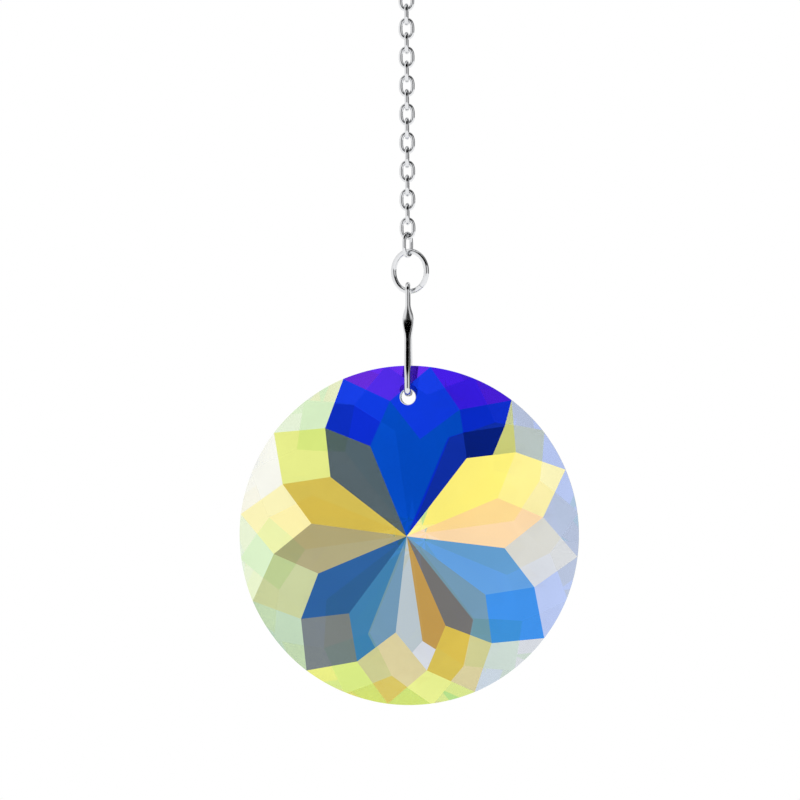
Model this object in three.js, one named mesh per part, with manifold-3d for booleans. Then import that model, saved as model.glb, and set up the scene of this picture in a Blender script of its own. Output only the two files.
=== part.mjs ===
// A crystal suncatcher: a round disc of cut glass that hangs from a wire clip, a jump ring
// and a fine cable chain. It is a standalone three.js program that needs three and manifold-3d.
//
// Units are millimetres and +Z is up. The front of the crystal faces -Y. The origin is the
// point that a hook bears on: the inside of the hanging ring, at its top.

import * as THREE from 'three';
import { mergeVertices } from 'three/addons/utils/BufferGeometryUtils.js';
import Module from 'manifold-3d';

const wasm = await Module();
wasm.setup();

const { degToRad } = THREE.MathUtils;

// ---------------------------------------------------------------------------------------
// Driving dimensions
// ---------------------------------------------------------------------------------------

const PLAY = 0.03; // clearance between two wires that bear on each other

// The cut is the same on both faces. Radii are fractions of the disc's own radius.
const CRYSTAL = {
  diameter: 45,
  girdle: 1.58, // thickness of the rim at the corners of the outer facets
  facets: 12, // facets in each of a face's three rings
  kiteSlope: degToRad(19), // slope of the kites that meet at the apex
  innerRing: 0.572, // where the kites' side corners lie
  middleRing: 0.8, // where the kites' outer corners lie
  frontCorner: degToRad(22.5), // bearing of one inner corner of the front face
  rimSteps: 144, // straight steps round the rim
  holeDiameter: 2,
  holeHeight: 18.35, // hole above the disc's centre
  holeSides: 24,
};
const BACK_TURN = degToRad(15); // the back's cut is turned half a facet against the front's

// The clip is a hairpin of wire with its top bend round the jump ring.
const CLIP = {
  wire: 0.84,
  topWire: 0.6, // thinner round the top bend
  swellWidth: 1.42, // widest place, where each leg is rolled flat
  swellThickness: 0.42,
  swellStart: 7.6, // heights above the hole's centre
  swellPeak: 10.1,
  swellEnd: 12.3,
  kneeRadius: 0.75, // bend at the foot of each leg
  tipLength: 1.9, // reach of each tip into the hole, from the crystal's face
  surfaceGap: 0.3, // between a leg and the face of the crystal
  sides: 8,
};

const JUMP_RING = {
  diameter: 6,
  wire: 0.7,
  turn: degToRad(-33),
  offset: 0.3, // it hangs a little to one side
  sides: 8,
  steps: 28,
};

// Oval links: outer length and width.
const END_LINK = { length: 3.5, width: 2.15, wire: 0.5, turn: degToRad(57), sides: 8, steps: 18 };
const CHAIN_LINK = { length: 2.96, width: 2.1, wire: 0.52, sides: 8, steps: 16 };
const CHAIN_LINKS = 22;
const OVAL_POWER = 2.4; // 2 is an ellipse, and a higher power squares its sides

const HANGING_RING = { diameter: 12, wire: 0.8, sides: 8, steps: 32 };

// ---------------------------------------------------------------------------------------
// Materials
// ---------------------------------------------------------------------------------------

const cutGlass = new THREE.MeshStandardMaterial({
  color: 0xdfe9f5,
  roughness: 0.02,
  metalness: 0,
  transparent: true,
  opacity: 0.45,
});
const polishedSteel = new THREE.MeshStandardMaterial({
  color: 0xd9dadc,
  roughness: 0.12,
  metalness: 1,
});

// ---------------------------------------------------------------------------------------
// Geometry helpers
// ---------------------------------------------------------------------------------------

/** A closed geometry as a manifold-3d solid. */
function toSolid(geometry) {
  const bare = geometry.clone();
  bare.deleteAttribute('normal');
  bare.deleteAttribute('uv');
  const merged = mergeVertices(bare, 1e-4);
  return new wasm.Manifold(
    new wasm.Mesh({
      numProp: 3,
      vertProperties: merged.attributes.position.array,
      triVerts: new Uint32Array(merged.index.array),
    }),
  );
}

/** A manifold-3d solid as a three.js geometry. */
function toGeometry(solid) {
  const mesh = solid.getMesh();
  const geometry = new THREE.BufferGeometry();
  geometry.setAttribute('position', new THREE.BufferAttribute(mesh.vertProperties, 3));
  geometry.setIndex(new THREE.BufferAttribute(mesh.triVerts, 1));
  return geometry;
}

/** A geometry from flat polygons, each a list of points that runs anticlockwise from outside. */
function fromPolygons(polygons) {
  const corners = [];
  for (const polygon of polygons) {
    for (let i = 1; i < polygon.length - 1; i += 1) {
      for (const point of [polygon[0], polygon[i], polygon[i + 1]]) corners.push(...point.toArray());
    }
  }
  const geometry = new THREE.BufferGeometry();
  geometry.setAttribute('position', new THREE.Float32BufferAttribute(corners, 3));
  return geometry;
}

/**
 * Wire as a chain of stations, each with its centre, the two directions across it and its half
 * sizes along them. A closed wire joins its last station to its first, and an open one is capped.
 */
function wireGeometry(stations, sides, closed) {
  const loops = stations.map(({ centre, across, out, halfWidth, halfThickness }) =>
    Array.from({ length: sides }, (_, i) => {
      const angle = (2 * Math.PI * (i + 0.5)) / sides;
      return centre
        .clone()
        .addScaledVector(across, halfWidth * Math.cos(angle))
        .addScaledVector(out, halfThickness * Math.sin(angle));
    }),
  );
  const polygons = [];
  const last = closed ? loops.length : loops.length - 1;
  for (let k = 0; k < last; k += 1) {
    const here = loops[k];
    const next = loops[(k + 1) % loops.length];
    for (let i = 0; i < sides; i += 1) {
      const j = (i + 1) % sides;
      polygons.push([here[i], here[j], next[j], next[i]]);
    }
  }
  if (!closed) {
    polygons.push([...loops[0]].reverse());
    polygons.push(loops[loops.length - 1]);
  }
  return fromPolygons(polygons);
}

/** A ring or oval link in the XZ plane, centred on the origin, from its outer sizes. */
function loopGeometry({ length, width, wire, sides, steps, power = 2 }) {
  const a = (width - wire) / 2;
  const b = (length - wire) / 2;
  const bend = (value) => Math.sign(value) * Math.abs(value) ** (2 / power);
  const point = (t) => new THREE.Vector3(a * bend(Math.cos(t)), 0, b * bend(Math.sin(t)));
  const depth = new THREE.Vector3(0, 1, 0);
  const stations = Array.from({ length: steps }, (_, k) => {
    // The first station is at the top, where the loop bears.
    const t = Math.PI / 2 + (2 * Math.PI * k) / steps;
    const ahead = point(t + 1e-3).sub(point(t - 1e-3)).normalize();
    return {
      centre: point(t),
      across: depth,
      out: new THREE.Vector3().crossVectors(ahead, depth),
      halfWidth: wire / 2,
      halfThickness: wire / 2,
    };
  });
  return wireGeometry(stations, sides, true);
}

function mesh(name, geometry, material) {
  const made = new THREE.Mesh(geometry, material);
  made.name = name;
  return made;
}

// ---------------------------------------------------------------------------------------
// The crystal
// ---------------------------------------------------------------------------------------

/** Heights of the cut above the disc's middle plane, worked out from the rim inwards. */
function cutHeights() {
  const radius = CRYSTAL.diameter / 2;
  const inner = CRYSTAL.innerRing * radius;
  const middle = CRYSTAL.middleRing * radius;
  const halfStep = Math.cos(Math.PI / CRYSTAL.facets);
  const kiteRise = Math.tan(CRYSTAL.kiteSlope);
  const kiteBand = kiteRise * (middle - inner * halfStep); // from the middle to the inner corners
  const lozengeRise = kiteBand / (middle * halfStep - inner);
  const rim = CRYSTAL.girdle / 2;
  const innerHeight = rim + lozengeRise * (radius - inner);
  const middleHeight = innerHeight - kiteBand;
  return {
    radius,
    inner,
    middle,
    innerHeight,
    middleHeight,
    apexHeight: innerHeight + kiteRise * inner * halfStep,
    rimHeight: rim,
    lozengeRise,
    outerRise: (middleHeight - rim) / (radius * halfStep - middle),
  };
}

const cut = cutHeights();

/** One face of the crystal, and its edge on the rim. Side -1 is the front, and 1 the back. */
function facePolygons(side, corner) {
  const step = (2 * Math.PI) / CRYSTAL.facets;
  const at = (radius, bearing, height) =>
    new THREE.Vector3(radius * Math.cos(bearing), side * height, radius * Math.sin(bearing));
  const apex = at(0, 0, cut.apexHeight);
  const inner = (k) => at(cut.inner, corner + k * step, cut.innerHeight);
  const middle = (k) => at(cut.middle, corner + (k + 0.5) * step, cut.middleHeight);
  const perFacet = CRYSTAL.rimSteps / CRYSTAL.facets;
  // A point of the rim, on the outer facet that starts at corner k.
  const rim = (k, i) => {
    const bearing = corner + (k + i / perFacet) * step;
    const reach = cut.radius * Math.cos(bearing - corner - (k + 0.5) * step);
    return at(cut.radius, bearing, cut.middleHeight - cut.outerRise * (reach - cut.middle));
  };
  const polygons = [];
  const edge = [];
  for (let k = 0; k < CRYSTAL.facets; k += 1) {
    const arc = Array.from({ length: perFacet + 1 }, (_, i) => rim(k, i));
    polygons.push([apex, inner(k), middle(k), inner(k + 1)]); // kite
    polygons.push([inner(k), middle(k - 1), rim(k, 0), middle(k)]); // lozenge
    polygons.push([middle(k), ...arc]); // outer facet
    edge.push(...arc.slice(0, perFacet));
  }
  if (side > 0) polygons.forEach((polygon) => polygon.reverse());
  return { polygons, edge };
}

function crystalGeometry() {
  const front = facePolygons(-1, CRYSTAL.frontCorner);
  const back = facePolygons(1, CRYSTAL.frontCorner - BACK_TURN);
  // The back's rim starts half a facet earlier than the front's.
  const shift = CRYSTAL.rimSteps / CRYSTAL.facets / 2;
  const steps = CRYSTAL.rimSteps;
  const girdle = front.edge.map((point, i) => [
    point,
    back.edge[(i + shift) % steps],
    back.edge[(i + shift + 1) % steps],
    front.edge[(i + 1) % steps],
  ]);
  const disc = toSolid(fromPolygons([...front.polygons, ...back.polygons, ...girdle]));
  // A CylinderGeometry stands along Y, as the hole does.
  const drill = new THREE.CylinderGeometry(
    CRYSTAL.holeDiameter / 2,
    CRYSTAL.holeDiameter / 2,
    2 * cut.apexHeight,
    CRYSTAL.holeSides,
  );
  drill.translate(0, 0, CRYSTAL.holeHeight);
  return toGeometry(disc.subtract(toSolid(drill)));
}

// ---------------------------------------------------------------------------------------
// The clip
// ---------------------------------------------------------------------------------------

/** Depth of the crystal's face at a height above the disc's centre, near its vertical middle. */
function faceDepth(height) {
  return cut.innerHeight - cut.lozengeRise * (height - cut.inner);
}

// The jump ring's wire crosses the top bend at a slant, so it takes up more of its depth.
const slant = Math.abs(JUMP_RING.turn);
const crossing = JUMP_RING.wire / Math.cos(slant) + CLIP.topWire * Math.tan(slant);
const topBendRadius = (crossing + CLIP.topWire) / 2 + PLAY;

/**
 * The clip in the YZ plane, with its heights measured from the hole's centre: one tip, a knee,
 * a leg, the bend round the jump ring, and the same again down the back.
 */
function clipGeometry(bendHeight) {
  const tipHeight = CRYSTAL.holeDiameter / 2 - CLIP.wire / 2 - 0.08;
  const face = faceDepth(CRYSTAL.holeHeight + tipHeight);
  const legFoot = face + CLIP.surfaceGap + CLIP.kneeRadius + CLIP.wire / 2;
  const foot = new THREE.Vector2(-legFoot, tipHeight + CLIP.kneeRadius);
  const neck = new THREE.Vector2(-topBendRadius, bendHeight);
  const path = new THREE.CurvePath();
  const tip = new THREE.Vector2(CLIP.tipLength - face, tipHeight);
  const kneeStart = new THREE.Vector2(-legFoot + CLIP.kneeRadius, tipHeight);
  const kneeCorner = new THREE.Vector2(-legFoot, tipHeight);
  path.add(new THREE.LineCurve(tip, kneeStart));
  path.add(new THREE.QuadraticBezierCurve(kneeStart, kneeCorner, foot));
  // The leg leaves the knee upright and leans in to the bend.
  path.add(
    new THREE.CubicBezierCurve(
      foot,
      new THREE.Vector2(-legFoot, tipHeight + CLIP.kneeRadius + 3),
      new THREE.Vector2(-topBendRadius - 0.05, bendHeight - 5),
      neck,
    ),
  );
  const legPoints = [
    ...path.curves[0].getPoints(2).slice(0, -1),
    ...path.curves[1].getPoints(5).slice(0, -1),
    ...path.curves[2].getPoints(26).slice(0, -1),
  ];
  const bendPoints = new THREE.EllipseCurve(
    0,
    bendHeight,
    topBendRadius,
    topBendRadius,
    Math.PI,
    0,
    true,
  ).getPoints(12);
  const otherLeg = legPoints.map((p) => new THREE.Vector2(-p.x, p.y)).reverse();
  const points = [...legPoints, ...bendPoints, ...otherLeg];
  const across = new THREE.Vector3(1, 0, 0);
  const stations = points.map((p, i) => {
    const before = points[Math.max(i - 1, 0)];
    const after = points[Math.min(i + 1, points.length - 1)];
    const ahead = new THREE.Vector3(0, after.x - before.x, after.y - before.y).normalize();
    return {
      centre: new THREE.Vector3(0, p.x, p.y),
      across,
      out: new THREE.Vector3().crossVectors(ahead, across),
      ...clipSection(p.y),
    };
  });
  return wireGeometry(stations, CLIP.sides, false);
}

/** Half sizes of the clip's wire at a height: round, but rolled flat and wide where it swells. */
function clipSection(height) {
  const { smoothstep, lerp } = THREE.MathUtils;
  const rise = smoothstep(height, CLIP.swellStart, CLIP.swellPeak);
  const fall = 1 - smoothstep(height, CLIP.swellPeak, CLIP.swellEnd);
  const swell = Math.min(rise, fall);
  const wire = lerp(CLIP.wire, CLIP.topWire, smoothstep(height, CLIP.swellPeak, CLIP.swellEnd));
  return {
    halfWidth: lerp(wire, CLIP.swellWidth, swell) / 2,
    halfThickness: lerp(wire, CLIP.swellThickness, swell) / 2,
  };
}

// ---------------------------------------------------------------------------------------
// The suncatcher, hung piece by piece from its top
// ---------------------------------------------------------------------------------------

const suncatcher = new THREE.Group();
suncatcher.name = 'suncatcher';

/** Height of the next piece's top wire, when it hooks over the wire it hangs from. */
function hookOver(bearing, bearingWire, wire) {
  return bearing + (bearingWire + wire) / 2 + PLAY;
}

const hangingRing = mesh(
  'hanging_ring',
  loopGeometry({ ...HANGING_RING, length: HANGING_RING.diameter, width: HANGING_RING.diameter }),
  polishedSteel,
);
hangingRing.position.z = HANGING_RING.wire - HANGING_RING.diameter / 2;
suncatcher.add(hangingRing);

// The height of the lowest wire so far, which the next piece hangs from.
let bearing = 1.5 * HANGING_RING.wire - HANGING_RING.diameter;
let bearingWire = HANGING_RING.wire;

function hang(name, loop, turn, offset = 0) {
  const top = hookOver(bearing, bearingWire, loop.wire);
  const hung = mesh(name, loopGeometry(loop), polishedSteel);
  hung.rotation.z = turn;
  hung.position.set(offset, 0, top - (loop.length - loop.wire) / 2);
  suncatcher.add(hung);
  bearing = top - (loop.length - loop.wire);
  bearingWire = loop.wire;
}

for (let k = 1; k <= CHAIN_LINKS; k += 1) {
  const name = `chain_link_${String(k).padStart(2, '0')}`;
  // The last link faces the front, and its neighbours stand edge-on.
  const turn = (CHAIN_LINKS - k) % 2 === 0 ? 0 : Math.PI / 2;
  hang(name, { ...CHAIN_LINK, power: OVAL_POWER }, turn);
}
hang('end_link', { ...END_LINK, power: OVAL_POWER }, END_LINK.turn);
hang(
  'jump_ring',
  { ...JUMP_RING, length: JUMP_RING.diameter, width: JUMP_RING.diameter },
  JUMP_RING.turn,
  JUMP_RING.offset,
);

// The clip's top bend has the jump ring's lowest wire in it.
const bendHeight = bearing;
const clipRise = 14; // from the hole's centre to the centre of the top bend
const crystalGroup = new THREE.Group();
crystalGroup.position.z = bendHeight - clipRise - CRYSTAL.holeHeight;
const clip = mesh('clip', clipGeometry(clipRise), polishedSteel);
clip.position.z = CRYSTAL.holeHeight;
crystalGroup.add(mesh('crystal', crystalGeometry(), cutGlass), clip);
suncatcher.add(crystalGroup);

export default suncatcher;
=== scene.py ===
"""The looks of a crystal suncatcher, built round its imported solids.

A round disc of cut, coated glass hangs from a wire clip, a jump ring, a turned link and a
cable chain with a ring at its top. Each sub-assembly below builds its own mesh in metres, in
the frame of the solids, and dresses it. The front of the crystal faces -Y and +Z is up.
"""

import logging
import math
from collections.abc import Callable
from dataclasses import dataclass
from enum import Enum

import bpy
from mathutils import Euler, Matrix, Vector
from mathutils.geometry import tessellate_polygon


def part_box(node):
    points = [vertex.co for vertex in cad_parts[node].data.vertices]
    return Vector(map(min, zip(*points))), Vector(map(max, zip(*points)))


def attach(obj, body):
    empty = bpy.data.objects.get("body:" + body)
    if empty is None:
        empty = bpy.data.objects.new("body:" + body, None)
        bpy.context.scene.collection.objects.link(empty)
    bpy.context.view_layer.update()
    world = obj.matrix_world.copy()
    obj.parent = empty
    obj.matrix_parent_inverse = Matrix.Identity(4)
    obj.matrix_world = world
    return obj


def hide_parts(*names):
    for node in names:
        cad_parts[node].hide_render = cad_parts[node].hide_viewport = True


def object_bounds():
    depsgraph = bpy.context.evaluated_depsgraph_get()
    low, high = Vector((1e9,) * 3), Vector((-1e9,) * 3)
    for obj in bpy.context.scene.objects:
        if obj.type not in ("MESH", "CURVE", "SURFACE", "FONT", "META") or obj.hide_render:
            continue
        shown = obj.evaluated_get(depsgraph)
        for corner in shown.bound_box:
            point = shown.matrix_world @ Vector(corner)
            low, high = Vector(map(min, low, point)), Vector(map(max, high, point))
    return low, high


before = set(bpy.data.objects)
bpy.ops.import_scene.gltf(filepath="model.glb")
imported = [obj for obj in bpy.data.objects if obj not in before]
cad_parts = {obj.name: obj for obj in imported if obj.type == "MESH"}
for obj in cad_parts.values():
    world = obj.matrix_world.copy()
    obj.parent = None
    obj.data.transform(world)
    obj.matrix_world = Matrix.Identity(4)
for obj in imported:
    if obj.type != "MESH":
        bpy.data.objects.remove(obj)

LOG = logging.getLogger("suncatcher")
MM = 0.001
WELD = 1e-6  # corners closer than this, a micron, are one corner
CAD_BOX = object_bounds()


# ------------------------------------------------------------------------------------------
# Colour and node helpers
# ------------------------------------------------------------------------------------------

def linear(hex_colour: str) -> tuple[float, float, float, float]:
    """Turns an sRGB hex colour to linear light.

    Args:
        hex_colour: The colour as "#rrggbb".

    Returns:
        Red, green, blue and an alpha of 1.
    """
    channels = (int(hex_colour[i:i + 2], 16) / 255 for i in (1, 3, 5))
    red, green, blue = (c / 12.92 if c <= 0.04045 else ((c + 0.055) / 1.055) ** 2.4 for c in channels)
    return red, green, blue, 1.0


def add(tree: bpy.types.NodeTree, kind: str, inputs: dict | None = None, **settings: object) -> bpy.types.Node:
    """Adds a node with its settings, values and links.

    Args:
        tree: The tree that gets the node.
        kind: The node's type name.
        inputs: Values or sockets by the name or number of the input they go to.
        **settings: Properties of the node itself.

    Returns:
        The new node.
    """
    node = tree.nodes.new(kind)
    for name, value in settings.items():
        setattr(node, name, value)
    for key, value in (inputs or {}).items():
        if isinstance(value, bpy.types.NodeSocket):
            tree.links.new(value, node.inputs[key])
        else:
            node.inputs[key].default_value = value
    return node


def fresh_tree(name: str) -> tuple[bpy.types.Material, bpy.types.NodeTree]:
    """Makes an empty node material.

    Args:
        name: The material's name.

    Returns:
        The material and its tree.
    """
    material = bpy.data.materials.new(name)
    material.use_nodes = True
    material.node_tree.nodes.clear()
    return material, material.node_tree


# ------------------------------------------------------------------------------------------
# Finishes
# ------------------------------------------------------------------------------------------

class CoatAndPaintedLight(Enum):
    """Tints of the iridescent film, each the colour that one pass through it gives. They hold the coat's own
    colour and also painted light: the colours that refracted and reflected light gives each facet seen from the
    front.
    """

    CLEAR = "#fafaf5"
    ICE = "#ecf5f5"
    AQUA = "#c4eaea"
    MINT = "#eaf6e0"
    IVORY = "#faf5e0"
    CREAM = "#fff8c0"
    LEMON = "#fff8a0"
    SUNNY = "#ffee80"
    PEACH = "#ffe0c0"
    GOLD = "#d8c050"
    OCHRE = "#c09a50"
    KHAKI = "#b0a880"
    SAND = "#dcd0a0"
    SAGE = "#c8d0a0"
    CELADON = "#c0d8c0"
    LIME = "#eaf090"
    PEARL = "#d8dce8"
    DOVE = "#bac6d0"
    PEWTER = "#788088"
    SLATE = "#5a6870"
    ASH = "#707078"
    SEA = "#7098b8"
    HARBOUR = "#3880c0"
    DENIM = "#205ca0"
    SKY = "#60a0e8"
    AZURE = "#3890f0"
    COBALT = "#0850d0"
    ROYAL = "#1840f0"
    INK = "#1030d8"
    MIDNIGHT = "#0820a0"
    INDIGO = "#4820f0"
    VIOLET = "#6830f8"
    LILAC = "#b8c8f8"


@dataclass(frozen=True)
class KiteFilmAndPaintedLight:
    """The film on a kite, split into fields where, seen from the front, another facet of the back shows through:
    painted refraction. A field without a coat of its own has that of the low side.

    Attributes:
        low: Field on the side of lower bearing.
        high: Field on the side of higher bearing.
        tip: Field at the outer corner.
    """

    low: CoatAndPaintedLight
    high: CoatAndPaintedLight | None = None
    tip: CoatAndPaintedLight | None = None


@dataclass(frozen=True)
class LozengeFilmAndPaintedLight:
    """The film on a lozenge, split into fields where, seen from the front, another facet of the back shows
    through: painted refraction. A field without a coat of its own has that of the inner corner.

    Attributes:
        inner: Field at the inner corner.
        low: Field at the corner of lower bearing.
        high: Field at the corner of higher bearing.
        outer: Field at the rim.
        low_rim: The half of the outer field next to the low one, if it differs.
        meet: Where the fields meet: a share of the way from the inner corner to the rim, and
            then a share of the way to the low corner.
    """

    inner: CoatAndPaintedLight
    low: CoatAndPaintedLight | None = None
    high: CoatAndPaintedLight | None = None
    outer: CoatAndPaintedLight | None = None
    low_rim: CoatAndPaintedLight | None = None
    meet: tuple[float, float] = (0.61, 0.0)


@dataclass(frozen=True)
class FaceFilms:
    """The films on one face, anticlockwise as seen from the front.

    Attributes:
        kites: Films of the kites.
        lozenges: Films of the lozenges, from inner corner 0.
        outers: Coats of the outer facets, each next to the kite of the same place.
        first_kite: Number of the inner corner that the first kite starts at.
    """

    kites: tuple[KiteFilmAndPaintedLight, ...]
    lozenges: tuple[LozengeFilmAndPaintedLight, ...]
    outers: tuple[CoatAndPaintedLight, ...]
    first_kite: int


@dataclass(frozen=True)
class CoatedCrystal:
    """Lead crystal, cut and polished, with an iridescent vacuum coat.

    The glass is clear and refracts strongly, so the facets of the back show through those of the front.
    The coat colours each facet. Its tints are partly the coat's own colour and partly painted light: the
    colours that refracted and reflected light gives the facets seen from the front. Its depth drifts a little
    over the disc.
    """

    ior: float = 1.55
    roughness: float = 0.0
    gloss: str = "#9aa4b4"  # the coat holds back some of the bare glass's gloss
    drift_mm: float = 9.0  # length over which the coat's depth drifts
    drift: float = 0.05  # and by how much

    def material(self) -> bpy.types.Material:
        """Builds the material.

        Returns:
            The coated crystal, which reads the mesh's film attribute.
        """
        material, tree = fresh_tree("coated lead crystal, cut and polished")
        # The film attribute holds the facet tints, which are partly painted refracted and reflected light.
        film = add(tree, "ShaderNodeAttribute", attribute_name="film")
        # The film's depth drifts over a few millimetres, as a sprayed coat's does.
        place = add(tree, "ShaderNodeTexCoord")
        drift = add(tree, "ShaderNodeTexNoise", {
            "Vector": place.outputs["Object"], "Scale": 1 / (self.drift_mm * MM), "Detail": 2.0, "Roughness": 0.5,
        })
        depth = add(tree, "ShaderNodeMapRange", {
            "Value": drift.outputs["Fac"], "From Min": 0.3, "From Max": 0.7,
            "To Min": 1 - self.drift, "To Max": 1 + self.drift,
        })
        tint = add(tree, "ShaderNodeVectorMath", {0: film.outputs["Color"], "Scale": depth.outputs["Result"]},
                   operation="SCALE")
        glass = add(tree, "ShaderNodeBsdfPrincipled", {
            "Base Color": tint.outputs["Vector"],
            "IOR": self.ior,
            "Roughness": self.roughness,
            "Transmission Weight": 1.0,
            "Specular Tint": linear(self.gloss),
        })
        add(tree, "ShaderNodeOutputMaterial", {"Surface": glass.outputs["BSDF"]})
        return material


@dataclass(frozen=True)
class GroundBore:
    """Glass left as the diamond drill cut it: white, rough and only half see-through."""

    colour: str = "#f2f3f5"
    roughness: float = 0.55
    ior: float = 1.55
    see_through: float = 0.25
    grit_mm: float = 0.22
    grit_tones: tuple[float, float] = (0.72, 1.08)  # darkest and lightest grain

    def material(self) -> bpy.types.Material:
        """Builds the material.

        Returns:
            The frosted glass of the drilled hole.
        """
        material, tree = fresh_tree("drilled glass, ground rough")
        place = add(tree, "ShaderNodeTexCoord")
        grit = add(tree, "ShaderNodeTexNoise", {
            "Vector": place.outputs["Object"], "Scale": 1 / (self.grit_mm * MM), "Detail": 3.0,
        })
        dark, light = self.grit_tones
        ramp = add(tree, "ShaderNodeMapRange", {"Value": grit.outputs["Fac"], "To Min": dark, "To Max": light})
        tint = add(tree, "ShaderNodeVectorMath", {0: linear(self.colour)[:3], "Scale": ramp.outputs["Result"]},
                   operation="SCALE")
        bump = add(tree, "ShaderNodeBump", {
            "Height": grit.outputs["Fac"], "Strength": 0.5, "Distance": 0.05 * MM,
        })
        glass = add(tree, "ShaderNodeBsdfPrincipled", {
            "Base Color": tint.outputs["Vector"],
            "Roughness": self.roughness,
            "IOR": self.ior,
            "Transmission Weight": self.see_through,
            "Normal": bump.outputs["Normal"],
        })
        add(tree, "ShaderNodeOutputMaterial", {"Surface": glass.outputs["BSDF"]})
        return material


@dataclass(frozen=True)
class DrawnSteel:
    """Stainless steel wire, drawn and barrel polished.

    It mirrors the room, a little softened by fine draw lines and rubbed patches.
    """

    name: str = "stainless steel wire, drawn and polished"
    colour: str = "#e3e4e6"
    roughness: float = 0.09
    rub: float = 0.10  # what a rubbed patch adds to the roughness
    rub_mm: float = 0.7
    line_mm: float = 0.12  # real draw lines are finer, and wouldn't show

    def material(self) -> bpy.types.Material:
        """Builds the material.

        Returns:
            The polished steel.
        """
        material, tree = fresh_tree(self.name)
        place = add(tree, "ShaderNodeTexCoord")
        rub = add(tree, "ShaderNodeTexNoise", {
            "Vector": place.outputs["Object"], "Scale": 1 / (self.rub_mm * MM), "Detail": 3.0,
        })
        rough = add(tree, "ShaderNodeMapRange", {
            "Value": rub.outputs["Fac"], "From Min": 0.35, "From Max": 0.75,
            "To Min": self.roughness, "To Max": self.roughness + self.rub,
        })
        lines = add(tree, "ShaderNodeTexNoise", {
            "Vector": place.outputs["Object"], "Scale": 1 / (self.line_mm * MM), "Detail": 1.0,
        })
        bump = add(tree, "ShaderNodeBump", {"Height": lines.outputs["Fac"], "Strength": 0.12,
                                            "Distance": 0.01 * MM})
        steel = add(tree, "ShaderNodeBsdfPrincipled", {
            "Base Color": linear(self.colour),
            "Metallic": 1.0,
            "Roughness": rough.outputs["Result"],
            "Normal": bump.outputs["Normal"],
        })
        add(tree, "ShaderNodeOutputMaterial", {"Surface": steel.outputs["BSDF"]})
        return material


# ------------------------------------------------------------------------------------------
# Mesh helpers
# ------------------------------------------------------------------------------------------

def place(mesh: bpy.types.Mesh, name: str, slot: str, *nodes: str) -> bpy.types.Object:
    """Puts a finished mesh in the scene as a piece of the suncatcher.

    Args:
        mesh: The mesh, already in place.
        name: The piece's name.
        slot: Not used.
        *nodes: The solids that it stands for.

    Returns:
        The new piece.
    """
    piece = bpy.data.objects.new(name, mesh)
    bpy.context.scene.collection.objects.link(piece)
    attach(piece, "root")
    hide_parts(*nodes)
    LOG.info("%s: %d faces, stands for %d solids", name, len(mesh.polygons), len(nodes))
    return piece


def smoothstep(value: float, low: float, high: float) -> float:
    """Rises smoothly from 0 at low to 1 at high."""
    share = min(max((value - low) / (high - low), 0.0), 1.0)
    return share * share * (3 - 2 * share)


def middle_of(node: str) -> Vector:
    """The centre of a solid's box."""
    low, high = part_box(node)
    return (low + high) / 2


# ------------------------------------------------------------------------------------------
# The crystal
# ------------------------------------------------------------------------------------------

@dataclass
class Field:
    """A flat stretch of a facet under one tint of film. Its bounds and tint are partly painted light, following
    what shows through it from the front.

    Attributes:
        points: Its corners, anticlockwise from outside.
        coat: The film on it.
    """

    points: list[Vector]
    coat: CoatAndPaintedLight

    def holds(self, x: float, z: float) -> bool:
        """Whether a point, seen from the front, lies inside the field."""
        turns = []
        for a, b in zip(self.points, self.points[1:] + self.points[:1]):
            turns.append((b.x - a.x) * (z - a.z) - (b.z - a.z) * (x - a.x) > 0)
        return all(turns) or not any(turns)


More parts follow.
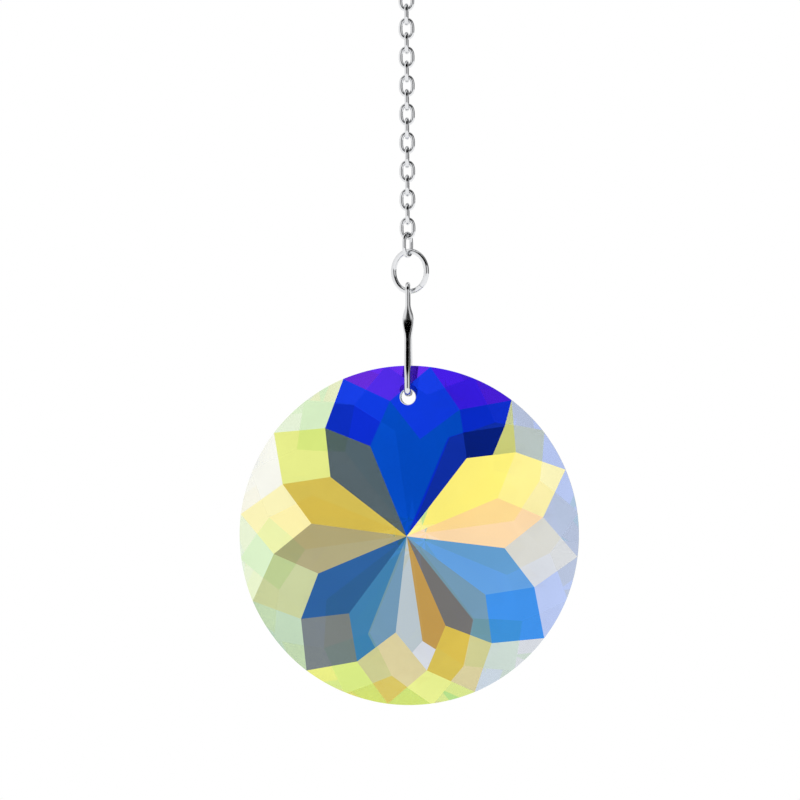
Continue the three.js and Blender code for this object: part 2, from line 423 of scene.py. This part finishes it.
# Painted light: these front tints and fields are set so that each facet, seen from the front, shows the colours
# that the refracted and reflected room gives it, over the coat's own colour.
FRONT_FILMS_AND_PAINTED_LIGHT = FaceFilms(
    kites=(
        KiteFilmAndPaintedLight(CoatAndPaintedLight.PEACH),
        KiteFilmAndPaintedLight(CoatAndPaintedLight.LEMON),
        KiteFilmAndPaintedLight(CoatAndPaintedLight.INK, high=CoatAndPaintedLight.COBALT, tip=CoatAndPaintedLight.COBALT),
        KiteFilmAndPaintedLight(CoatAndPaintedLight.COBALT),
        KiteFilmAndPaintedLight(CoatAndPaintedLight.SLATE),
        KiteFilmAndPaintedLight(CoatAndPaintedLight.GOLD),
        KiteFilmAndPaintedLight(CoatAndPaintedLight.KHAKI),
        KiteFilmAndPaintedLight(CoatAndPaintedLight.DENIM),
        KiteFilmAndPaintedLight(CoatAndPaintedLight.HARBOUR, high=CoatAndPaintedLight.SEA),
        KiteFilmAndPaintedLight(CoatAndPaintedLight.DOVE, high=CoatAndPaintedLight.OCHRE, tip=CoatAndPaintedLight.PEARL),
        KiteFilmAndPaintedLight(CoatAndPaintedLight.ASH, high=CoatAndPaintedLight.SEA, tip=CoatAndPaintedLight.SEA),
        KiteFilmAndPaintedLight(CoatAndPaintedLight.SKY),
    ),
    lozenges=(
        LozengeFilmAndPaintedLight(CoatAndPaintedLight.CREAM),
        LozengeFilmAndPaintedLight(CoatAndPaintedLight.MIDNIGHT, low=CoatAndPaintedLight.SAGE, high=CoatAndPaintedLight.INK, outer=CoatAndPaintedLight.INK, low_rim=CoatAndPaintedLight.SAGE,
                    meet=(0.74, 0.3)),
        LozengeFilmAndPaintedLight(CoatAndPaintedLight.ROYAL),
        LozengeFilmAndPaintedLight(CoatAndPaintedLight.INK, low=CoatAndPaintedLight.ROYAL, outer=CoatAndPaintedLight.ROYAL),
        LozengeFilmAndPaintedLight(CoatAndPaintedLight.LIME),
        LozengeFilmAndPaintedLight(CoatAndPaintedLight.CREAM),
        LozengeFilmAndPaintedLight(CoatAndPaintedLight.SAGE),
        LozengeFilmAndPaintedLight(CoatAndPaintedLight.PEWTER),
        LozengeFilmAndPaintedLight(CoatAndPaintedLight.SAND),
        LozengeFilmAndPaintedLight(CoatAndPaintedLight.GOLD, high=CoatAndPaintedLight.SAND, outer=CoatAndPaintedLight.SAND),
        LozengeFilmAndPaintedLight(CoatAndPaintedLight.AZURE),
        LozengeFilmAndPaintedLight(CoatAndPaintedLight.PEARL),
    ),
    outers=(
        CoatAndPaintedLight.LILAC, CoatAndPaintedLight.LILAC, CoatAndPaintedLight.INDIGO, CoatAndPaintedLight.VIOLET, CoatAndPaintedLight.MINT, CoatAndPaintedLight.CLEAR,
        CoatAndPaintedLight.MINT, CoatAndPaintedLight.CELADON, CoatAndPaintedLight.LIME, CoatAndPaintedLight.LIME, CoatAndPaintedLight.PEARL, CoatAndPaintedLight.LILAC,
    ),
    first_kite=-1,
)
BACK_FILMS = FaceFilms(
    kites=tuple(KiteFilmAndPaintedLight(coat) for coat in (CoatAndPaintedLight.CREAM, CoatAndPaintedLight.CREAM, CoatAndPaintedLight.AQUA, CoatAndPaintedLight.ICE)
                + (CoatAndPaintedLight.CLEAR, CoatAndPaintedLight.IVORY) * 4),
    lozenges=tuple(LozengeFilmAndPaintedLight(coat) for coat in (CoatAndPaintedLight.IVORY, CoatAndPaintedLight.CREAM, CoatAndPaintedLight.AQUA, CoatAndPaintedLight.AQUA)
                   + (CoatAndPaintedLight.MINT, CoatAndPaintedLight.CLEAR) * 4),
    outers=(CoatAndPaintedLight.CLEAR,) * 8 + (CoatAndPaintedLight.SUNNY,) + (CoatAndPaintedLight.CLEAR,) * 3,
    first_kite=0,
)


@dataclass
class Crystal:
    """The cut glass disc. Radii are shares of the disc's own radius."""

    facets: int = 12
    inner_ring: float = 0.572
    middle_ring: float = 0.8
    kite_slope: float = math.radians(19)
    front_corner: float = math.radians(22.5)
    back_corner: float = math.radians(7.5)
    rim_steps: int = 360
    hole_radius: float = 1.0 * MM
    hole_height: float = 18.35 * MM
    hole_sides: int = 48
    chamfer: float = 0.08 * MM
    kite_share: float = 0.53  # where fields divide the edge between a kite and a lozenge
    rim_share: float = 0.5  # and the edge between a lozenge and an outer facet
    tip_share: float = 0.78  # where a kite's tip starts, from the apex to its outer corner
    front_hole_step: int = 2  # the hole is in this lozenge of the front
    back_hole_step: int = 3  # and in this one of the back

    def __post_init__(self) -> None:
        """Works the cut's heights out from the solid's box, from the apex outwards."""
        low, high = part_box("crystal")
        self.centre = (low + high) / 2
        self.radius = (high.x - low.x) / 2
        self.apex_height = (high.y - low.y) / 2
        self.inner = self.inner_ring * self.radius
        self.middle = self.middle_ring * self.radius
        half_step = math.cos(math.pi / self.facets)
        rise = math.tan(self.kite_slope)
        self.inner_height = self.apex_height - rise * self.inner * half_step
        band = rise * (self.middle - self.inner * half_step)
        self.middle_height = self.inner_height - band
        self.lozenge_rise = band / (self.middle * half_step - self.inner)
        self.rim_height = self.inner_height - self.lozenge_rise * (self.radius - self.inner)
        self.outer_rise = (self.middle_height - self.rim_height) / (self.radius * half_step - self.middle)
        self.step = 2 * math.pi / self.facets

    def at(self, side: int, radius: float, bearing: float, height: float) -> Vector:
        """A point of one face, from its radius, bearing and height above the middle plane."""
        return Vector((radius * math.cos(bearing), side * height, radius * math.sin(bearing)))

    def rim_point(self, side: int, corner: float, k: int, i: int) -> Vector:
        """Point i of the rim, on the outer facet that starts at corner k."""
        along = self.step * i / (self.rim_steps // self.facets)
        reach = self.radius * math.cos(along - self.step / 2)
        height = self.middle_height - self.outer_rise * (reach - self.middle)
        return self.at(side, self.radius, corner + k * self.step + along, height)

    def fields(self, side: int, corner: float, films: FaceFilms) -> list[Field]:
        """Lays out the facets of one face, each in the fields of its film, whose tints and bounds carry painted
        refracted light.

        Args:
            side: -1 for the front and 1 for the back.
            corner: Bearing of inner corner 0.
            films: The face's films.

        Returns:
            The fields, facet by facet.
        """
        per_facet = self.rim_steps // self.facets
        apex = self.at(side, 0, 0, self.apex_height)
        made: list[Field] = []

        def inner(k: int) -> Vector:
            """Inner corner k."""
            return self.at(side, self.inner, corner + k * self.step, self.inner_height)

        def middle(k: int) -> Vector:
            """The middle corner between inner corners k and k + 1."""
            return self.at(side, self.middle, corner + (k + 0.5) * self.step, self.middle_height)

        def rim(k: int) -> Vector:
            """The rim corner at the bearing of inner corner k."""
            return self.rim_point(side, corner, k, 0)

        for n, (kite, coat) in enumerate(zip(films.kites, films.outers)):
            k = films.first_kite + n
            tip = apex.lerp(middle(k), self.tip_share)
            low = inner(k).lerp(middle(k), self.kite_share)
            high = inner(k + 1).lerp(middle(k), self.kite_share)
            low_rim = middle(k).lerp(rim(k), self.rim_share)
            high_rim = middle(k).lerp(rim(k + 1), self.rim_share)
            arc = [self.rim_point(side, corner, k, i) for i in range(per_facet + 1)]
            made += [
                Field([apex, inner(k), low, tip], kite.low),
                Field([apex, tip, high, inner(k + 1)], kite.high or kite.low),
                Field([tip, low, middle(k), high], kite.tip or kite.low),
                Field([middle(k), low_rim, *arc, high_rim], coat),
            ]
        for k, film in enumerate(films.lozenges):
            outward, aside = film.meet
            outer = film.outer or film.inner
            meet = inner(k).lerp(rim(k), outward).lerp(middle(k - 1), aside)
            low = inner(k).lerp(middle(k - 1), self.kite_share)
            high = inner(k).lerp(middle(k), self.kite_share)
            low_rim = middle(k - 1).lerp(rim(k), self.rim_share)
            high_rim = middle(k).lerp(rim(k), self.rim_share)
            made += [
                Field([inner(k), low, meet, high], film.inner),
                Field([low, middle(k - 1), low_rim, meet], film.low or film.inner),
                Field([meet, low_rim, rim(k)], film.low_rim or outer),
                Field([meet, rim(k), high_rim], outer),
                Field([meet, high_rim, middle(k), high], film.high or film.inner),
            ]
        if side > 0:
            for part in made:
                part.points.reverse()
        return made

    def hole_ring(self, side: int, radius: float) -> list[Vector]:
        """Points round the hole on the face of a lozenge, anticlockwise as seen from the front."""
        if side < 0:
            bearing = self.front_corner + self.front_hole_step * self.step
        else:
            bearing = self.back_corner + self.back_hole_step * self.step
        ring = []
        for i in range(self.hole_sides):
            turn = 2 * math.pi * i / self.hole_sides
            x = radius * math.cos(turn)
            z = self.hole_height + radius * math.sin(turn)
            along = x * math.cos(bearing) + z * math.sin(bearing)
            height = self.inner_height - self.lozenge_rise * (along - self.inner)
            ring.append(Vector((x, side * height, z)))
        return ring

    def build(self) -> bpy.types.Mesh:
        """Builds the disc with its hole, and its film attribute.

        Returns:
            The mesh, with the coated faces first and the ground ones last.
        """
        points: dict[tuple[int, ...], int] = {}
        vertices: list[Vector] = []
        faces: list[tuple[int, ...]] = []
        coats: list[CoatAndPaintedLight] = []

        def lay(polygon: list[Vector], coat: CoatAndPaintedLight) -> None:
            """Adds a polygon, and shares the corners that are already there."""
            corners = []
            for point in polygon:
                key = tuple(round(c / WELD) for c in point)
                if key not in points:
                    points[key] = len(vertices)
                    vertices.append(point)
                corners.append(points[key])
            faces.append(tuple(dict.fromkeys(corners)))
            coats.append(coat)

        mouths = []
        faces_to_cut = ((-1, self.front_corner, FRONT_FILMS_AND_PAINTED_LIGHT), (1, self.back_corner, BACK_FILMS))
        for side, corner, films in faces_to_cut:
            mouth = self.hole_ring(side, self.hole_radius + self.chamfer)
            neck = self.hole_ring(side, self.hole_radius)
            for point in neck:
                point.y -= side * self.chamfer
            mouths += [mouth, neck] if side < 0 else [neck, mouth]
            for part in self.fields(side, corner, films):
                if not part.holds(0, self.hole_height):
                    lay(part.points, part.coat)
                    continue
                corners = part.points + mouth
                for triangle in tessellate_polygon([part.points, mouth]):
                    polygon = [corners[i] for i in triangle]
                    normal = (polygon[1] - polygon[0]).cross(polygon[2] - polygon[0])
                    lay(polygon if normal.y * side > 0 else polygon[::-1], part.coat)
        self.add_rim(lay)
        self.add_bore(lay, mouths)
        mesh = bpy.data.meshes.new("cut_crystal")
        mesh.from_pydata([self.centre + v for v in vertices], [], faces)
        mesh.materials.append(CoatedCrystal().material())
        mesh.materials.append(GroundBore().material())
        ground = len(faces) - (len(mouths) - 1) * self.hole_sides
        # The film attribute carries the facet tints, painted refracted and reflected light among them.
        film = mesh.attributes.new("film", "FLOAT_COLOR", "CORNER")
        for i, polygon in enumerate(mesh.polygons):
            polygon.material_index = int(i >= ground)
            # The shader takes the root of its colour for one crossing, so tints are squared.
            base = [c * c for c in linear(coats[i].value)]
            for loop in polygon.loop_indices:
                film.data[loop].color = base
        return mesh

    def add_rim(self, lay: Callable[[list[Vector], CoatAndPaintedLight], None]) -> None:
        """Joins the two faces round the rim."""
        per_facet = self.rim_steps // self.facets
        shift = per_facet // 2  # the back's corners lie half a facet before the front's
        spots = [divmod(i, per_facet) for i in range(self.rim_steps)]
        front = [self.rim_point(-1, self.front_corner, k, i) for k, i in spots]
        back = [self.rim_point(1, self.back_corner, k, i) for k, i in spots]
        for i in range(self.rim_steps):
            j = (i + 1) % self.rim_steps
            behind = (i + shift) % self.rim_steps
            lay([front[i], back[behind], back[(behind + 1) % self.rim_steps], front[j]], CoatAndPaintedLight.CLEAR)

    def add_bore(self, lay: Callable[[list[Vector], CoatAndPaintedLight], None], loops: list[list[Vector]]) -> None:
        """Lines the hole from the front to the back, with a small chamfer at each mouth."""
        for near, far in zip(loops, loops[1:]):
            for i in range(self.hole_sides):
                j = (i + 1) % self.hole_sides
                lay([near[i], near[j], far[j], far[i]], CoatAndPaintedLight.CLEAR)

    def dress(self) -> bpy.types.Object:
        """Builds the disc and puts it in the scene."""
        return place(self.build(), "cut_crystal", "crystal", "crystal")


# ------------------------------------------------------------------------------------------
# The clip
# ------------------------------------------------------------------------------------------

@dataclass
class Clip:
    """A hairpin of wire, with its tips in the crystal's hole and its bend round the jump ring."""

    crystal: Crystal
    wire: float = 0.84 * MM
    top_wire: float = 0.6 * MM
    swell_width: float = 1.42 * MM
    swell_thickness: float = 0.42 * MM
    swell_start: float = 7.6 * MM
    swell_peak: float = 10.1 * MM
    swell_end: float = 12.3 * MM
    knee_radius: float = 0.75 * MM
    tip_length: float = 1.9 * MM
    surface_gap: float = 0.3 * MM
    tip_play: float = 0.08 * MM
    sides: int = 28
    tip_steps: int = 6
    knee_steps: int = 14
    leg_steps: int = 90
    bend_steps: int = 32

    def path(self) -> list[Vector]:
        """The middle of the wire, from one tip to the other, measured from the hole's centre."""
        hole = self.crystal.centre.z + self.crystal.hole_height
        low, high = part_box("clip")
        tip_height = self.crystal.hole_radius - self.wire / 2 - self.tip_play
        along = self.crystal.hole_height + tip_height - self.crystal.inner
        face = self.crystal.inner_height - self.crystal.lozenge_rise * along
        foot = face + self.surface_gap + self.knee_radius + self.wire / 2
        bend_radius = TOP_BEND_RADIUS
        bend = high.z - hole - bend_radius - self.top_wire / 2

        def bezier(points: list[tuple[float, float]], steps: int) -> list[Vector]:
            """Points along a Bezier curve, without its last."""
            made = []
            for i in range(steps):
                row = [Vector(p) for p in points]
                while len(row) > 1:
                    row = [a.lerp(b, i / steps) for a, b in zip(row, row[1:])]
                made.append(row[0])
            return made

        knee_start = (-foot + self.knee_radius, tip_height)
        knee_end = (-foot, tip_height + self.knee_radius)
        leg = [
            *bezier([(self.tip_length - face, tip_height), knee_start], self.tip_steps),
            *bezier([knee_start, (-foot, tip_height), knee_end], self.knee_steps),
            *bezier([knee_end, (-foot, tip_height + self.knee_radius + 3 * MM),
                     (-bend_radius - 0.05 * MM, bend - 5 * MM), (-bend_radius, bend)], self.leg_steps),
        ]
        angles = [math.pi * i / self.bend_steps for i in range(self.bend_steps + 1)]
        turn = [Vector((-bend_radius * math.cos(a), bend + bend_radius * math.sin(a))) for a in angles]
        half = [Vector((0, p.x, p.y)) for p in leg]
        other = [Vector((0, -p.y, p.z)) for p in reversed(half)]
        return [*half, *(Vector((0, p.x, p.y)) for p in turn), *other]

    def section(self, height: float) -> tuple[float, float]:
        """Half width and half thickness of the wire at a height, rolled flat where it swells."""
        swell = min(smoothstep(height, self.swell_start, self.swell_peak),
                    1 - smoothstep(height, self.swell_peak, self.swell_end))
        thin = smoothstep(height, self.swell_peak, self.swell_end)
        wire = self.wire + (self.top_wire - self.wire) * thin
        width = wire + (self.swell_width - wire) * swell
        return width / 2, (wire + (self.swell_thickness - wire) * swell) / 2

    def build(self) -> bpy.types.Mesh:
        """Sweeps the wire's section along its path.

        Returns:
            The closed mesh.
        """
        points = self.path()
        origin = self.crystal.centre + Vector((0, 0, self.crystal.hole_height))
        vertices: list[Vector] = []
        for i, point in enumerate(points):
            ahead = (points[min(i + 1, len(points) - 1)] - points[max(i - 1, 0)]).normalized()
            across = Vector((1, 0, 0))
            out = ahead.cross(across)
            half_width, half_thickness = self.section(point.z)
            for s in range(self.sides):
                turn = 2 * math.pi * (s + 0.5) / self.sides
                vertices.append(origin + point + across * half_width * math.cos(turn)
                                + out * half_thickness * math.sin(turn))
        faces: list[tuple[int, ...]] = []
        for k in range(len(points) - 1):
            for s in range(self.sides):
                a = k * self.sides + s
                b = k * self.sides + (s + 1) % self.sides
                faces.append((a, b, b + self.sides, a + self.sides))
        faces.append(tuple(reversed(range(self.sides))))
        faces.append(tuple(len(vertices) - self.sides + s for s in range(self.sides)))
        mesh = bpy.data.meshes.new("wire_clip")
        mesh.from_pydata(vertices, [], faces)
        mesh.materials.append(DrawnSteel().material())
        mesh.shade_smooth()
        return mesh

    def dress(self) -> bpy.types.Object:
        """Builds the clip and puts it in the scene."""
        return place(self.build(), "wire_clip", "metal", "clip")


# ------------------------------------------------------------------------------------------
# Rings and links
# ------------------------------------------------------------------------------------------

@dataclass
class Loops:
    """One or more closed loops of wire, one under the other, each turned against the last.

    Attributes:
        name: The piece's name.
        nodes: The solids that it stands for, from the top.
        length: Outer length of a loop.
        width: Outer width of a loop.
        wire: Thickness of the wire.
        power: 2 is an ellipse, and a higher power squares the sides.
        turn: Turn of the top loop about the vertical.
        next_turn: Turn of each loop against the one above it.
        split: Width of the slit where the wire's ends meet, or 0 where they are welded.
        split_at: Place of the slit round the loop, from 0 to 1.
    """

    name: str
    nodes: list[str]
    length: float
    width: float
    wire: float
    power: float = 2.0
    turn: float = 0.0
    next_turn: float = 0.0
    split: float = 0.0
    split_at: float = 0.6
    resolution: int = 72
    sides: int = 20

    def tree(self) -> bpy.types.GeometryNodeTree:
        """Builds the geometry tree: an oval of wire, copied down a line of points.

        Returns:
            The tree, with a named input for each size.
        """
        tree = bpy.data.node_groups.new("hanging loops of wire", "GeometryNodeTree")
        face = tree.interface
        for name, kind in (("Length", "FLOAT"), ("Width", "FLOAT"), ("Wire", "FLOAT"), ("Power", "FLOAT"),
                           ("Loops", "INT"), ("Pitch", "FLOAT"), ("Top", "VECTOR"), ("Turn", "FLOAT"),
                           ("Next Turn", "FLOAT"), ("Split", "FLOAT"), ("Split At", "FLOAT"),
                           ("Steel", "MATERIAL")):
            face.new_socket(name=name, in_out="INPUT",
                            socket_type="NodeSocket" + kind.capitalize())
        face.new_socket(name="Geometry", in_out="OUTPUT", socket_type="NodeSocketGeometry")
        given = add(tree, "NodeGroupInput").outputs

        def sums(operation: str, *values: object) -> bpy.types.NodeSocket:
            """One step of arithmetic."""
            return add(tree, "ShaderNodeMath", dict(enumerate(values)), operation=operation).outputs[0]

        # A unit circle, pulled out to a superellipse that stands in the XZ plane.
        circle = add(tree, "GeometryNodeCurvePrimitiveCircle", {"Resolution": self.resolution, "Radius": 1.0})
        spot = add(tree, "ShaderNodeSeparateXYZ", {0: add(tree, "GeometryNodeInputPosition").outputs[0]})
        bend = sums("DIVIDE", 2.0, given["Power"])

        def reach(value: bpy.types.NodeSocket, size: bpy.types.NodeSocket) -> bpy.types.NodeSocket:
            """One coordinate of the superellipse's middle line."""
            half = sums("MULTIPLY", sums("SUBTRACT", size, given["Wire"]), 0.5)
            bent = sums("POWER", sums("ABSOLUTE", value), bend)
            return sums("MULTIPLY", half, sums("MULTIPLY", sums("SIGN", value), bent))

        oval = add(tree, "ShaderNodeCombineXYZ", {"X": reach(spot.outputs["X"], given["Width"]),
                                                  "Z": reach(spot.outputs["Y"], given["Length"])})
        line = add(tree, "GeometryNodeSetPosition", {"Geometry": circle.outputs["Curve"],
                                                     "Position": oval.outputs[0]})
        # A slit leaves the wire open, with a flat end on either side.
        start = sums("ADD", given["Split At"], given["Split"])
        cut = add(tree, "GeometryNodeTrimCurve", {"Curve": line.outputs[0], "Start": start,
                                                  "End": given["Split At"]}, mode="FACTOR")
        is_split = add(tree, "FunctionNodeCompare", {0: given["Split"], 1: 0.0}, data_type="FLOAT",
                       operation="GREATER_THAN")
        chosen = add(tree, "GeometryNodeSwitch", {"Switch": is_split.outputs[0], "False": line.outputs[0],
                                                  "True": cut.outputs[0]}, input_type="GEOMETRY")
        section = add(tree, "GeometryNodeCurvePrimitiveCircle",
                      {"Resolution": self.sides, "Radius": sums("MULTIPLY", given["Wire"], 0.5)})
        wire = add(tree, "GeometryNodeCurveToMesh", {"Curve": chosen.outputs[0],
                                                     "Profile Curve": section.outputs["Curve"],
                                                     "Fill Caps": True})
        down = add(tree, "ShaderNodeCombineXYZ", {"Z": sums("MULTIPLY", given["Pitch"], -1.0)})
        places = add(tree, "GeometryNodeMeshLine", {"Count": given["Loops"], "Start Location": given["Top"],
                                                    "Offset": down.outputs[0]}, mode="OFFSET")
        count = add(tree, "GeometryNodeInputIndex").outputs[0]
        turn = sums("ADD", given["Turn"], sums("MULTIPLY", count, given["Next Turn"]))
        turned = add(tree, "ShaderNodeCombineXYZ", {"Z": turn})
        copies = add(tree, "GeometryNodeInstanceOnPoints", {"Points": places.outputs["Mesh"],
                                                            "Instance": wire.outputs[0],
                                                            "Rotation": turned.outputs[0]})
        real = add(tree, "GeometryNodeRealizeInstances", {"Geometry": copies.outputs[0]})
        smooth = add(tree, "GeometryNodeSetShadeSmooth", {"Geometry": real.outputs[0]})
        steel = add(tree, "GeometryNodeSetMaterial", {"Geometry": smooth.outputs[0], "Material": given["Steel"]})
        add(tree, "NodeGroupOutput", {0: steel.outputs[0]})
        return tree

    def dress(self) -> bpy.types.Object:
        """Runs the tree and puts its plain mesh in the scene."""
        first = middle_of(self.nodes[0])
        last = middle_of(self.nodes[-1])
        count = len(self.nodes)
        tree = self.tree()
        values = {
            "Length": self.length, "Width": self.width, "Wire": self.wire, "Power": self.power,
            "Loops": count, "Pitch": (first.z - last.z) / max(count - 1, 1), "Top": tuple(first),
            "Turn": self.turn, "Next Turn": self.next_turn,
            "Split": self.split / (math.pi * self.length), "Split At": self.split_at,
            "Steel": DrawnSteel().material(),
        }
        carrier = bpy.data.objects.new(self.name, bpy.data.meshes.new("carrier"))
        bpy.context.scene.collection.objects.link(carrier)
        modifier = carrier.modifiers.new("loops", "NODES")
        modifier.node_group = tree
        for socket in tree.interface.items_tree:
            if socket.in_out == "INPUT":
                modifier[socket.identifier] = values[socket.name]
        carrier.update_tag()
        depsgraph = bpy.context.evaluated_depsgraph_get()
        mesh = bpy.data.meshes.new_from_object(carrier.evaluated_get(depsgraph))
        mesh.name = self.name
        carrier.modifiers.remove(modifier)
        bpy.data.objects.remove(carrier)
        return place(mesh, self.name, "metal", *self.nodes)


# The jump ring crosses the clip's top bend at a slant, so its wire takes more room there.
JUMP_RING_TURN = math.radians(-33)
JUMP_RING_WIRE = 0.7 * MM
WIRE_PLAY = 0.03 * MM
TOP_BEND_RADIUS = (JUMP_RING_WIRE / math.cos(JUMP_RING_TURN) + Clip.top_wire * math.tan(-JUMP_RING_TURN)
                   + Clip.top_wire) / 2 + WIRE_PLAY


def hardware() -> list[Loops]:
    """The rings and links, from the top down."""
    chain = sorted(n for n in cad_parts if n.startswith("chain_link_"))
    quarter = math.pi / 2
    return [
        Loops("top_ring", ["hanging_ring"], 12 * MM, 12 * MM, 0.8 * MM, resolution=128,
              split=0.06 * MM, split_at=0.1),
        # The last link faces the front, and its neighbours stand edge-on.
        Loops("cable_chain", chain, 2.96 * MM, 2.1 * MM, 0.52 * MM, power=2.4,
              turn=(len(chain) - 1) % 2 * quarter, next_turn=quarter, resolution=44, sides=16),
        Loops("turned_end_link", ["end_link"], 3.5 * MM, 2.15 * MM, 0.5 * MM, power=2.4,
              turn=math.radians(57)),
        Loops("round_jump_ring", ["jump_ring"], 6 * MM, 6 * MM, JUMP_RING_WIRE, turn=JUMP_RING_TURN,
              split=0.06 * MM, split_at=0.87, resolution=112),
    ]


# ------------------------------------------------------------------------------------------
# Studio
# ------------------------------------------------------------------------------------------

@dataclass
class Studio:
    """A white studio with dark flags in front, a pale floor and a long lens."""

    distance: float = 1.25
    azimuth: float = math.radians(2.16)
    roll: float = math.radians(-0.3)
    frame_width: float = 106.1 * MM
    aside: float = -1.13 * MM
    above_disc: float = 17.95 * MM
    sensor_mm: float = 36.0
    through: float = 1.045
    over_floor: float = 1.12
    floor_drop: float = 145 * MM
    floor_half: float = 1.5

    def camera(self, disc: Vector) -> None:
        """Sets a long lens at the height of the disc, a touch to the right of it."""
        data = bpy.data.cameras.new("long lens")
        data.sensor_width = self.sensor_mm
        data.lens = self.sensor_mm * self.distance / self.frame_width
        data.clip_start = 0.05
        lens = bpy.data.objects.new("long lens", data)
        target = disc + Vector((self.aside, 0, self.above_disc))
        away = Vector((math.sin(self.azimuth), -math.cos(self.azimuth), 0))
        turn = Euler((math.pi / 2, 0, self.azimuth)).to_matrix() @ Matrix.Rotation(self.roll, 3, "Z")
        lens.matrix_world = Matrix.LocRotScale(target + away * self.distance, turn.to_quaternion(), None)
        bpy.context.scene.collection.objects.link(lens)
        bpy.context.scene.camera = lens

    def floor(self) -> None:
        """Lays a plain pale floor under the object."""
        z = CAD_BOX[0][2] - self.floor_drop
        half = self.floor_half
        mesh = bpy.data.meshes.new("floor")
        mesh.from_pydata([(-half, -half, z), (half, -half, z), (half, half, z), (-half, half, z)], [],
                         [(0, 1, 2, 3)])
        material, tree = fresh_tree("pale painted floor")
        paint = add(tree, "ShaderNodeBsdfPrincipled", {"Base Color": linear("#f7f7f7"), "Roughness": 0.9,
                                                       "Specular IOR Level": 0.1})
        add(tree, "ShaderNodeOutputMaterial", {"Surface": paint.outputs["BSDF"]})
        mesh.materials.append(material)
        floor = bpy.data.objects.new("floor", mesh)
        bpy.context.scene.collection.objects.link(floor)

    def world(self) -> None:
        """Lights the scene all round in white, and shows polished surfaces a darker front."""
        world = bpy.data.worlds.new("white studio")
        bpy.context.scene.world = world
        world.use_nodes = True
        world.cycles.sampling_method = "NONE"
        tree = world.node_tree
        tree.nodes.clear()
        ray = add(tree, "ShaderNodeLightPath").outputs
        way = add(tree, "ShaderNodeTexCoord").outputs["Generated"]
        split = add(tree, "ShaderNodeSeparateXYZ", {0: way}).outputs

        def sums(operation: str, *values: object) -> bpy.types.NodeSocket:
            """One step of arithmetic."""
            return add(tree, "ShaderNodeMath", dict(enumerate(values)), operation=operation).outputs[0]

        # Bearing round the object: 0 is towards the lens and a quarter turn is to the right.
        bearing = sums("ARCTAN2", split["X"], sums("MULTIPLY", split["Y"], -1.0))
        share = add(tree, "ShaderNodeMapRange", {"Value": bearing, "From Min": -math.pi, "From Max": math.pi})
        wall = add(tree, "ShaderNodeValToRGB", {0: share.outputs["Result"]})
        self.fill_ramp(wall.color_ramp)
        # A black ceiling hangs over the front half.
        front = add(tree, "ShaderNodeMapRange", {"Value": split["Y"], "From Min": -0.35, "From Max": -0.25})
        below = add(tree, "ShaderNodeMapRange", {"Value": split["Z"], "From Min": 0.45, "From Max": 0.35})
        open_air = sums("MAXIMUM", front.outputs["Result"], below.outputs["Result"])
        wall = add(tree, "ShaderNodeVectorMath", {0: wall.outputs["Color"], "Scale": open_air},
                   operation="SCALE")
        mirrored = sums("SUBTRACT", ray["Is Reflection Ray"], ray["Is Diffuse Ray"])
        mirror = add(tree, "ShaderNodeMix", {0: mirrored, 6: (1, 1, 1, 1), 7: wall.outputs["Vector"]},
                     data_type="RGBA", clamp_factor=True)
        glow = sums("MULTIPLY_ADD", ray["Is Transmission Ray"], self.through - 1.0, 1.0)
        glow = sums("MULTIPLY_ADD", ray["Is Diffuse Ray"], self.over_floor - 1.0, glow)
        light = add(tree, "ShaderNodeBackground", {"Color": mirror.outputs[2], "Strength": glow})
        add(tree, "ShaderNodeOutputWorld", {"Surface": light.outputs[0]})

    def fill_ramp(self, ramp: bpy.types.ColorRamp) -> None:
        """Sets how bright the room looks in a reflection, from behind, round by the left."""
        stops = (
            (-180, 0.3), (-160, 0.3), (-145, 0.95), (-60, 0.95), (-25, 0.9), (-10, 0.05), (16, 0.03),
            (28, 0.85), (70, 0.7), (84, 0.06), (125, 0.06), (145, 0.85), (165, 0.7), (180, 0.3),
        )
        while len(ramp.elements) < len(stops):
            ramp.elements.new(0.5)
        for element, (bearing, bright) in zip(ramp.elements, stops):
            element.position = (bearing + 180) / 360
            element.color = (bright, bright, bright, 1.0)

    def build(self, disc: Vector) -> None:
        """Sets up the whole studio."""
        self.camera(disc)
        self.floor()
        self.world()
        bpy.context.scene.view_settings.view_transform = "Standard"
        LOG.info("studio ready")


# ------------------------------------------------------------------------------------------
# The whole scene
# ------------------------------------------------------------------------------------------


def main() -> None:
    """Builds and dresses every piece, in order."""
    logging.basicConfig(level=logging.INFO, format="%(name)s: %(message)s")
    crystal = Crystal()
    Studio().build(crystal.centre)
    crystal.dress()
    Clip(crystal).dress()
    for loops in hardware():
        loops.dress()


if __name__ == "__main__":
    main()
